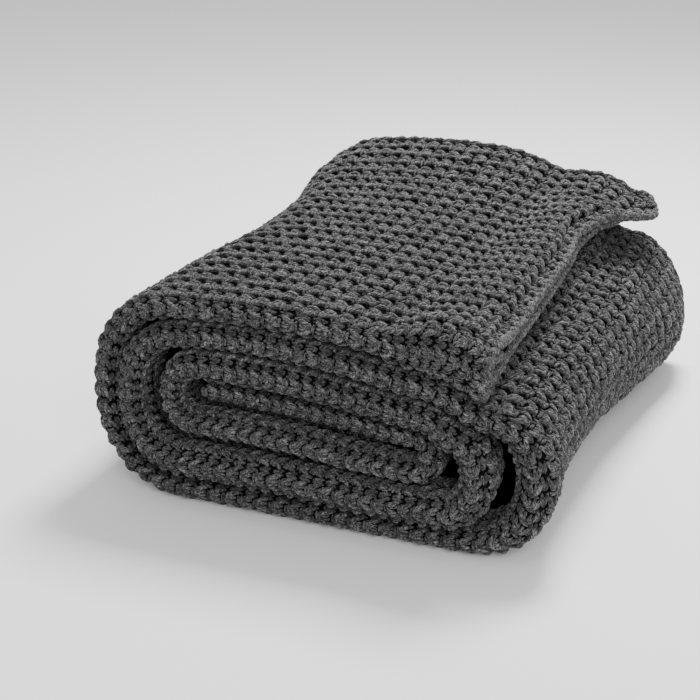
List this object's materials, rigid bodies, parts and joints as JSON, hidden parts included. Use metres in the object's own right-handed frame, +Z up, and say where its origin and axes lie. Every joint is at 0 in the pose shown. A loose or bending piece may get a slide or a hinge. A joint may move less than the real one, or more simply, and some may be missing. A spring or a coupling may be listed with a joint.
{
  "type": "rolled throw blanket",
  "caption": "Chunky knitted cotton throw, folded in four along its length and rolled loosely into a flattened roll that lies on its side, its outer end loose on top.",
  "frame": {"origin": "centre of the bounding box's base, on the surface that the roll lies on", "axes": "+Z up; +Y along the roll, away from the coiled end where the folds show; +X across the roll, towards the side where the loose outer end lies"},
  "size_m": [0.2874, 0.3438, 0.1386],
  "materials": {
    "cotton_knit": "matt heathered cotton yarn, chunky star-stitch knit"
  },
  "bodies": {
    "root": {"throw": "cotton_knit"}
  },
  "joints": []
}
